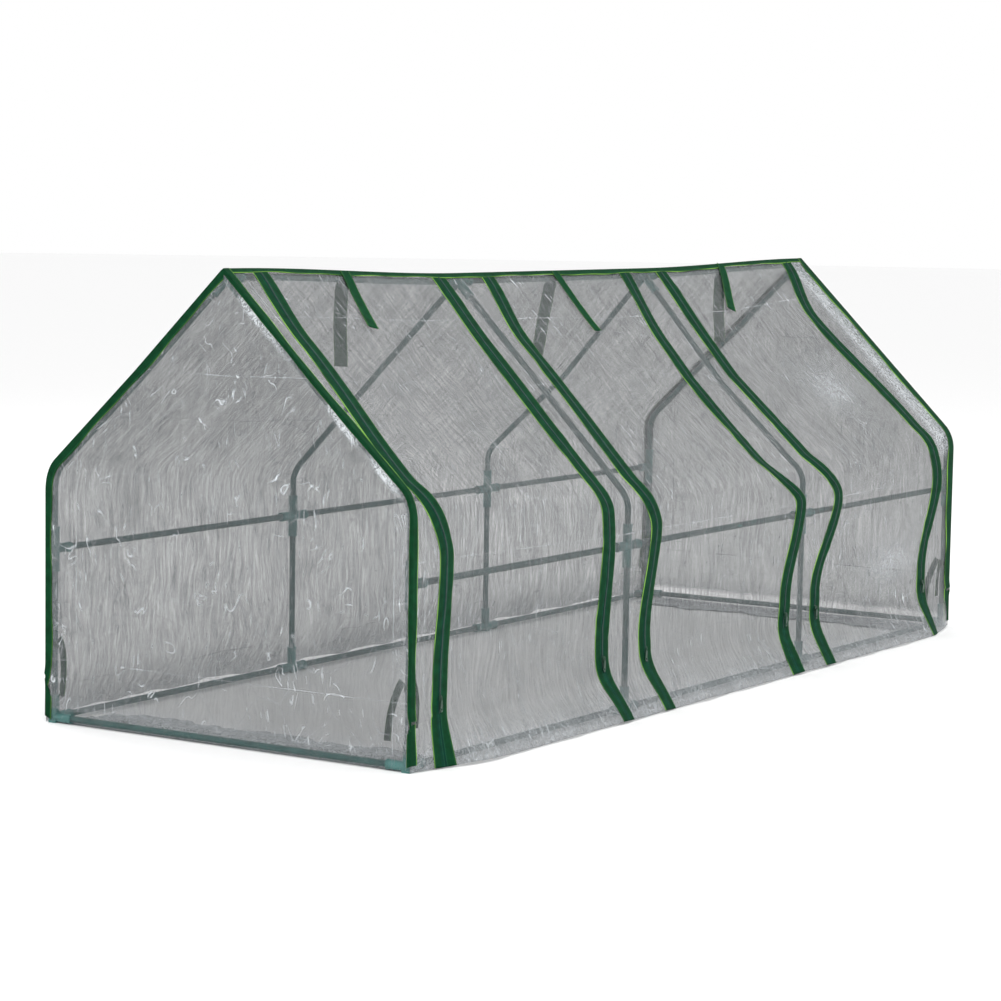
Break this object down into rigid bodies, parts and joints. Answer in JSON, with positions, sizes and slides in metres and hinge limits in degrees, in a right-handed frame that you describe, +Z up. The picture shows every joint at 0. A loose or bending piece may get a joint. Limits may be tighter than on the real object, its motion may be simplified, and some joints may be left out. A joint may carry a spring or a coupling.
{
  "type": "mini greenhouse",
  "caption": "Long low house-shaped growing tunnel: a tube frame on push-fit connectors under a clear film cover, with zipped front doors and skirts that spread on the ground.",
  "frame": {"origin": "on the ground, at the middle of the whole outline including the side skirts", "axes": "+X along the ridge, +Z up; the zipped doors are in the front, at -Y, and positive door travel lifts a door up and over the ridge"},
  "size_m": [2.413, 0.9771, 0.915],
  "materials": {
    "frame_tube": "satin plastic-coated steel tube",
    "connector": "moulded, satin",
    "cover_film": "clear soft film, creased, slightly hazy",
    "binding_tape": "woven polyester tape",
    "zip_tape": "woven polyester tape with light edges",
    "zip_coil": "nylon coil",
    "zip_slider": "enamelled zinc",
    "tie_ribbon": "woven polyester ribbon"
  },
  "bodies": {
    "root": {"front_legs": "frame_tube", "back_legs": "frame_tube", "ridge_rails": "frame_tube", "front_mid_rails": "frame_tube", "back_mid_rails": "frame_tube", "front_base_rails": "frame_tube", "back_base_rails": "frame_tube", "end_base_rails": "frame_tube", "rafters_1": "frame_tube", "rafters_2": "frame_tube", "rafters_3": "frame_tube", "rafters_4": "frame_tube", "corner_elbows": "connector", "base_tees": "connector", "mid_tees": "connector", "mid_crosses": "connector", "ridge_tees": "connector", "ridge_crosses": "connector", "back_film": "cover_film", "front_film": "cover_film", "near_gable_film": "cover_film", "far_gable_film": "cover_film", "ridge_binding": "binding_tape", "gable_bindings": "binding_tape", "fixed_tapes_1": "zip_tape", "fixed_tapes_2": "zip_tape", "fixed_tapes_3": "zip_tape", "zip_chains": "zip_coil", "corner_ties": "tie_ribbon"},
    "door_1_roof": {"door_1_roof_film": "cover_film", "door_1_roof_tapes": "zip_tape", "roll_tie_1": "tie_ribbon"},
    "door_1_wall": {"door_1_wall_film": "cover_film", "door_1_wall_tapes": "zip_tape"},
    "inner_tie_1": {"inner_tie_1": "tie_ribbon"},
    "slider_1_left": {"slider_1_left": "zip_slider"},
    "pull_1_left": {"pull_1_left": "zip_slider"},
    "slider_1_right": {"slider_1_right": "zip_slider"},
    "pull_1_right": {"pull_1_right": "zip_slider"},
    "door_2_roof": {"door_2_roof_film": "cover_film", "door_2_roof_tapes": "zip_tape", "roll_tie_2": "tie_ribbon"},
    "door_2_wall": {"door_2_wall_film": "cover_film", "door_2_wall_tapes": "zip_tape"},
    "inner_tie_2": {"inner_tie_2": "tie_ribbon"},
    "slider_2_left": {"slider_2_left": "zip_slider"},
    "pull_2_left": {"pull_2_left": "zip_slider"},
    "slider_2_right": {"slider_2_right": "zip_slider"},
    "pull_2_right": {"pull_2_right": "zip_slider"},
    "door_3_roof": {"door_3_roof_film": "cover_film", "door_3_roof_tapes": "zip_tape", "roll_tie_3": "tie_ribbon"},
    "door_3_wall": {"door_3_wall_film": "cover_film", "door_3_wall_tapes": "zip_tape"},
    "inner_tie_3": {"inner_tie_3": "tie_ribbon"},
    "slider_3_left": {"slider_3_left": "zip_slider"},
    "pull_3_left": {"pull_3_left": "zip_slider"},
    "slider_3_right": {"slider_3_right": "zip_slider"},
    "pull_3_right": {"pull_3_right": "zip_slider"}
  },
  "joints": [
    {"name": "door_1_lift", "type": "hinge", "parent": "root", "child": "door_1_roof", "pos_m": [-0.81833, 0, 0.9185], "axis": [-1, 0, 0], "range_deg": [0, 266]},
    {"name": "door_1_fold", "type": "hinge", "parent": "door_1_roof", "child": "door_1_wall", "pos_m": [-0.81833, -0.43498, 0.47989], "axis": [-1, 0, 0], "range_deg": [0, 76.5]},
    {"name": "inner_tie_1_swing", "type": "hinge", "parent": "root", "child": "inner_tie_1", "pos_m": [-0.81833, 0, 0.8961], "axis": [1, 0, 0], "range_deg": [-30, 30]},
    {"name": "slider_1_left_slide", "type": "slide", "parent": "root", "child": "slider_1_left", "axis": [0, 0, 1], "range_m": [0, 0.3]},
    {"name": "pull_1_left_swing", "type": "hinge", "parent": "slider_1_left", "child": "pull_1_left", "pos_m": [-1.121, -0.4474, 0.133], "axis": [-1, 0, 0], "range_deg": [0, 160]},
    {"name": "slider_1_right_slide", "type": "slide", "parent": "root", "child": "slider_1_right", "axis": [0, 0, 1], "range_m": [0, 0.3]},
    {"name": "pull_1_right_swing", "type": "hinge", "parent": "slider_1_right", "child": "pull_1_right", "pos_m": [-0.51567, -0.4474, 0.133], "axis": [-1, 0, 0], "range_deg": [0, 160]},
    {"name": "door_2_lift", "type": "hinge", "parent": "root", "child": "door_2_roof", "pos_m": [-0.023, 0, 0.9185], "axis": [-1, 0, 0], "range_deg": [0, 266]},
    {"name": "door_2_fold", "type": "hinge", "parent": "door_2_roof", "child": "door_2_wall", "pos_m": [-0.023, -0.43498, 0.47989], "axis": [-1, 0, 0], "range_deg": [0, 76.5]},
    {"name": "inner_tie_2_swing", "type": "hinge", "parent": "root", "child": "inner_tie_2", "pos_m": [-0.023, 0, 0.8961], "axis": [1, 0, 0], "range_deg": [-30, 30]},
    {"name": "slider_2_left_slide", "type": "slide", "parent": "root", "child": "slider_2_left", "axis": [0, 0, 1], "range_m": [0, 0.3]},
    {"name": "pull_2_left_swing", "type": "hinge", "parent": "slider_2_left", "child": "pull_2_left", "pos_m": [-0.32567, -0.4474, 0.133], "axis": [-1, 0, 0], "range_deg": [0, 160]},
    {"name": "slider_2_right_slide", "type": "slide", "parent": "root", "child": "slider_2_right", "axis": [0, 0, 1], "range_m": [0, 0.3]},
    {"name": "pull_2_right_swing", "type": "hinge", "parent": "slider_2_right", "child": "pull_2_right", "pos_m": [0.27967, -0.4474, 0.133], "axis": [-1, 0, 0], "range_deg": [0, 160]},
    {"name": "door_3_lift", "type": "hinge", "parent": "root", "child": "door_3_roof", "pos_m": [0.77233, 0, 0.9185], "axis": [-1, 0, 0], "range_deg": [0, 266]},
    {"name": "door_3_fold", "type": "hinge", "parent": "door_3_roof", "child": "door_3_wall", "pos_m": [0.77233, -0.43498, 0.47989], "axis": [-1, 0, 0], "range_deg": [0, 76.5]},
    {"name": "inner_tie_3_swing", "type": "hinge", "parent": "root", "child": "inner_tie_3", "pos_m": [0.77233, 0, 0.8961], "axis": [1, 0, 0], "range_deg": [-30, 30]},
    {"name": "slider_3_left_slide", "type": "slide", "parent": "root", "child": "slider_3_left", "axis": [0, 0, 1], "range_m": [0, 0.3]},
    {"name": "pull_3_left_swing", "type": "hinge", "parent": "slider_3_left", "child": "pull_3_left", "pos_m": [0.46967, -0.4474, 0.133], "axis": [-1, 0, 0], "range_deg": [0, 160]},
    {"name": "slider_3_right_slide", "type": "slide", "parent": "root", "child": "slider_3_right", "axis": [0, 0, 1], "range_m": [0, 0.3]},
    {"name": "pull_3_right_swing", "type": "hinge", "parent": "slider_3_right", "child": "pull_3_right", "pos_m": [1.075, -0.4474, 0.133], "axis": [-1, 0, 0], "range_deg": [0, 160]}
  ],
  "couplings": [
    {"joint": "door_1_fold", "follows": "door_1_lift", "ratio": 0.28571},
    {"joint": "door_2_fold", "follows": "door_2_lift", "ratio": 0.28571},
    {"joint": "door_3_fold", "follows": "door_3_lift", "ratio": 0.28571}
  ]
}
